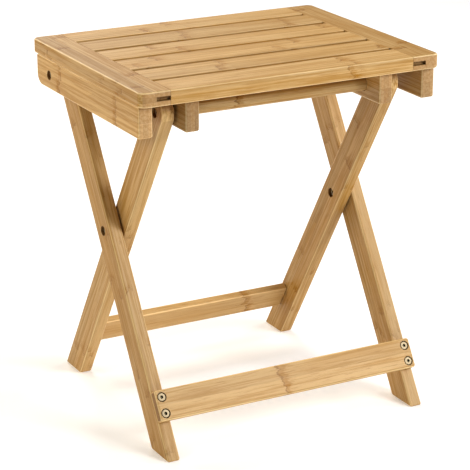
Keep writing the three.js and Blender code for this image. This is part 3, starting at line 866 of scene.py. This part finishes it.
def slotted_rail(name):
    """An inner rail under the seat, with the slot that the crossbar slides in."""
    board, bm = under_rail("slotted_rail", name, RAIL_CORNER)
    low, high = board.spot("crossbar")
    bar = (low + high) / 2
    half = (high.y - low.y) / 2 + SLOT_CLEARANCE
    back = BACK_PIVOT.y - FRONT_PIVOT.y
    outline = rounded_rectangle(
        bar.x - half, bar.x + back + half, bar.y - half, bar.y + half, [half] * 4
    )
    board.cutters.append(prism(outline, board.half.z + PROUD))
    return board.build(bm)


def leg(kind, name):
    """A leg's board and blank, with a round top and a foot cut level with the floor."""
    board = Board(f"{kind}_leg_{name}", Z, Y)
    h = board.half
    floor = board.place.translation.z
    climb = (board.place.to_3x3() @ X).z
    slope = (board.place.to_3x3() @ Y).z

    def foot(across):
        return -(floor + across * slope) / climb

    top = h.x - h.y
    outline = [(foot(-h.y), -h.y)] + arc((top, 0), h.y, -1, 2, 2 * ARC_STEPS) + [(foot(h.y), h.y)]
    return board, round_edges(prism(outline, h.z), BOARD_EDGE)


def outer_leg(name, sign):
    board, bm = leg("outer", name)
    board.drill(f"cross_bolt_{name}", X * sign, RECESS_RADIUS, RECESS_DEPTH)
    board.drill(f"pivot_insert_{name}", -X * sign, INSERT_HOLE_RADIUS, INSERT_HOLE_DEPTH)
    for place in PAIR:
        board.pilot(f"stretcher_bolt_{name}_{place}", -Y, BOLT_STEM)
    return board.build(bm)


def inner_leg(name, sign):
    board, bm = leg("inner", name)
    board.drill(f"crossbar_screw_{name}", X * sign, RECESS_RADIUS, RECESS_DEPTH)
    board.drill(f"cross_nut_{name}", -X * sign, RECESS_RADIUS, RECESS_DEPTH, NUT_SLEEVE)
    for pin in STRETCHER_PINS[name]:
        board.pilot(pin, -X * sign, pin_radius(pin))
    return board.build(bm)


def pin_radius(pin):
    low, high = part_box(pin)
    return (high.y - low.y) / 2


def stretcher(node):
    """A stretcher's board and blank."""
    board = Board(node, X, Z)
    h = board.half
    corners = [RAIL_CORNER] * 4
    bm = round_edges(prism(rounded_rectangle(-h.x, h.x, -h.y, h.y, corners), h.z), BOARD_EDGE)
    return board, bm


def front_stretcher():
    board, bm = stretcher("front_stretcher")
    for name, _ in SIDES:
        for place in PAIR:
            bolt = f"stretcher_bolt_{name}_{place}"
            board.drill(bolt, -Y, RECESS_RADIUS, STRETCHER_RECESS_DEPTH, shade=STRETCHER_RECESS_SHADE)
    h = board.half
    # The stretcher's ends get painted shade
    for left, right in ((-h.x, -h.x + END_SLICE), (h.x - END_SLICE, h.x)):
        board.shade((left, -h.y, -h.z), (right + NEARLY, h.y, h.z), STRETCHER_END_SHADE)
    return board.build(bm)


def stretcher_pin(node):
    """A dowel pin with chamfered ends."""
    board = Board(node, X, Y)
    long, radius, edge = board.half.x, board.half.y, PIN_CHAMFER
    half = [(radius, long - edge), (radius - edge, long), (0, long)]
    profile = [(r, -h) for r, h in reversed(half)] + half
    board.highlight_weight = 0.0
    return board.build(moved(lathe(profile), facing(X)))


def rear_stretcher():
    board, bm = stretcher("rear_stretcher")
    for name, sign in SIDES:
        for pin in STRETCHER_PINS[name]:
            board.pilot(pin, X * sign, pin_radius(pin))
    return board.build(bm)


def crossbar():
    """The round bar between the inner legs, with a pilot hole for a screw in each end."""
    board = Board("crossbar", X, Y)
    long, radius, edge = board.half.x, board.half.y, CROSSBAR_END_EDGE
    pilot = board.spot("crossbar_screw_right")[0].x - PILOT_SPARE
    outside = [(radius, long - edge), (radius - edge, long)]
    right = outside + [(BOLT_BORE, long), (BOLT_BORE, pilot), (0, pilot)]
    left = [(r, -h) for r, h in reversed(right)]
    board.highlight_weight = 0.0
    return board.build(moved(lathe(left + right, CROSSBAR_SIDES), facing(X)))


# ---- Fasteners, each along z with its head's top at the highest point ----


def fastener(node, out, stem_radius, head_radius, head_height, socket_radius, sleeve=0.0):
    """A bolt, screw or nut with a chamfered head and a hexagon socket. A nut's stem is a sleeve."""
    across = Z if abs(out.z) < 0.5 else X
    place = place_of(BODY_OF[node], across.cross(out), out)
    low, high = local_box(node, place)
    centre = (low + high) / 2
    turn = place @ Matrix.Translation((centre.x, high.y, centre.z)) @ facing(Y)
    length = high.y - low.y
    chamfer = HEAD_CHAMFER * head_radius
    broken = HEAD_ROUNDING * chamfer
    stem = sleeve or stem_radius
    obj = mesh_object(node + "_fine", lathe([
        (0, -length),
        (stem - TIP_TAPER, -length),
        (stem, -length + TIP_LENGTH),
        (stem, -head_height),
        (head_radius - HEAD_UNDER_EDGE, -head_height),
        (head_radius, -head_height + HEAD_UNDER_EDGE),
        (head_radius, -chamfer),
        (head_radius - broken, -broken),
        (head_radius - chamfer, 0),
        (0, 0),
    ]), turn)
    depth = SOCKET_DEPTH * head_height
    socket = [
        (0, SOCKET_PROUD),
        (socket_radius, SOCKET_PROUD),
        (socket_radius, -depth),
        (0, -depth - SOCKET_CONE),
    ]
    boolean(obj, [lathe(socket, sides=6)], "DIFFERENCE")
    if sleeve:
        bore = stem_radius + BORE_CLEARANCE
        top = -head_height + SLEEVE_INTO_HEAD
        hole = [(0, top), (bore, top), (bore, top - length), (0, top - length)]
        boolean(obj, [lathe(hole, SLEEVE_SIDES)], "DIFFERENCE")
    return stand_in(obj, node)


def ring_place(node):
    """A washer's or an insert's frame, its outer radius and half its length."""
    place = place_of(BODY_OF[node], Y, Z)
    low, high = local_box(node, place)
    half = (high - low) / 2
    return place @ Matrix.Translation((low + high) / 2), half.y, half.z


def washer(node):
    """A flat ring with its outer edges broken."""
    place, outer, half = ring_place(node)
    edge = min(WASHER_EDGE, half / 2)
    profile = [
        (BOLT_BORE, -half), (outer - edge, -half), (outer, -half + edge),
        (outer, half - edge), (outer - edge, half), (BOLT_BORE, half),
    ]
    return stand_in(mesh_object(node + "_fine", lathe(profile, ring=True), place), node)


def insert(node):
    """A threaded insert: a sleeve with ridges round it."""
    place, outer, half = ring_place(node)
    root = outer - THREAD_DEPTH
    ridges = round(2 * half / THREAD_PITCH)
    pitch = 2 * half / ridges
    side = [(root, -half)]
    for i in range(ridges):
        side += [(outer, -half + (i + 0.5) * pitch), (root, -half + (i + 1) * pitch)]
    solid = lathe([(BOLT_BORE, -half)] + side + [(BOLT_BORE, half)], ring=True)
    return stand_in(mesh_object(node + "_fine", solid, place), node)


def build_fasteners():
    for name, sign in SIDES:
        out = X * sign
        for kind in ("pivot_bolt", "cross_bolt", "crossbar_screw"):
            fastener(f"{kind}_{name}", out, **BOLT)
        fastener(f"cross_nut_{name}", -out, **BOLT, sleeve=NUT_SLEEVE)
        for place in PAIR:
            fastener(f"stretcher_bolt_{name}_{place}", -Y, **BOLT)
        for kind in ("apron_screw", "rail_screw"):
            for end in ("front", "back"):
                fastener(f"{kind}_{name}_{end}", -Z, **SCREW)
        for kind in ("pivot_washer", "cross_washer"):
            washer(f"{kind}_{name}")
        insert(f"pivot_insert_{name}")


def build_boards():
    slats = sum(node.startswith("seat_slat_") for node in BODY_OF)
    for index in range(1, slats + 1):
        slat(index, slats)
    for name, sign in SIDES:
        end_rail(name, sign)
        apron(name, sign)
        slotted_rail(name)
        outer_leg(name, sign)
        inner_leg(name, sign)
    front_stretcher()
    rear_stretcher()
    for pins in STRETCHER_PINS.values():
        for pin in pins:
            stretcher_pin(pin)
    crossbar()


# ---- Studio ----

CAMERA_AZIMUTH = math.radians(-28.26)
CAMERA_ELEVATION = math.radians(19.07)
CAMERA_DISTANCE = 2.495
CAMERA_AIM = Vector((-0.0006, -0.0069, 0.2066))
CAMERA_LENS = 151.73
SENSOR = 36.0

FLOOR_HALF = 15.0
FLOOR_HALF_THICKNESS = 0.01
FLOOR_GAP = 0.0001  # between the floor's top and the feet
WORLD_STRENGTH = 0.10

WHITE = (1, 1, 1)
WARM = (1.0, 0.88, 0.66)
LIGHT_AIM = Vector((0, 0, 0.25))
# Each area light's place, its side in metres, its power in watts and its colour
LIGHTS = {
    "key": ((1.5, -2.4, 1.9), 1.4, 86, WHITE),
    "right": ((2.4, -0.2, 1.8), 1.4, 26, WHITE),
    "left": ((-2.0, 0.2, 1.5), 1.0, 18, WARM),
    "left_back": ((-1.3, 2.3, 1.4), 1.2, 32, WARM),
    "back": ((0.4, 2.4, 2.2), 1.4, 48, WHITE),
}


def add_camera():
    data = bpy.data.cameras.new("camera")
    data.lens = CAMERA_LENS
    data.sensor_width = SENSOR
    data.clip_end = 100
    camera = bpy.data.objects.new("camera", data)
    bpy.context.scene.collection.objects.link(camera)
    back = Vector((
        math.sin(CAMERA_AZIMUTH) * math.cos(CAMERA_ELEVATION),
        -math.cos(CAMERA_AZIMUTH) * math.cos(CAMERA_ELEVATION),
        math.sin(CAMERA_ELEVATION),
    ))
    camera.matrix_world = (
        Matrix.Translation(CAMERA_AIM + back * CAMERA_DISTANCE)
        @ back.to_track_quat("Z", "Y").to_matrix().to_4x4()
    )
    bpy.context.scene.camera = camera


def add_light(name, place, size, power, colour):
    data = bpy.data.lights.new(name, "AREA")
    data.shape = "SQUARE"
    data.size = size
    data.energy = power
    data.color = colour
    light = bpy.data.objects.new(name, data)
    light.location = place
    light.rotation_euler = (LIGHT_AIM - Vector(place)).to_track_quat("-Z", "Y").to_euler()
    bpy.context.scene.collection.objects.link(light)


def add_floor():
    r = FLOOR_HALF
    slab = prism([(-r, -r), (r, -r), (r, r), (-r, r)], FLOOR_HALF_THICKNESS)
    middle = Matrix.Translation((0, 0, -FLOOR_HALF_THICKNESS - FLOOR_GAP))
    floor = mesh_object("studio_floor", slab, middle)
    floor.data.materials.append(floor_finish())


def add_world():
    world = bpy.data.worlds.new("studio")
    world.use_nodes = True
    background = world.node_tree.nodes["Background"]
    background.inputs["Color"].default_value = (*WHITE, 1)
    background.inputs["Strength"].default_value = WORLD_STRENGTH
    bpy.context.scene.world = world


def add_studio():
    add_floor()
    add_world()
    for name, light in LIGHTS.items():
        add_light(name, *light)
    bpy.context.scene.view_settings.view_transform = "Standard"
    bpy.context.scene.view_settings.look = "None"


build_boards()
build_fasteners()
add_camera()
add_studio()
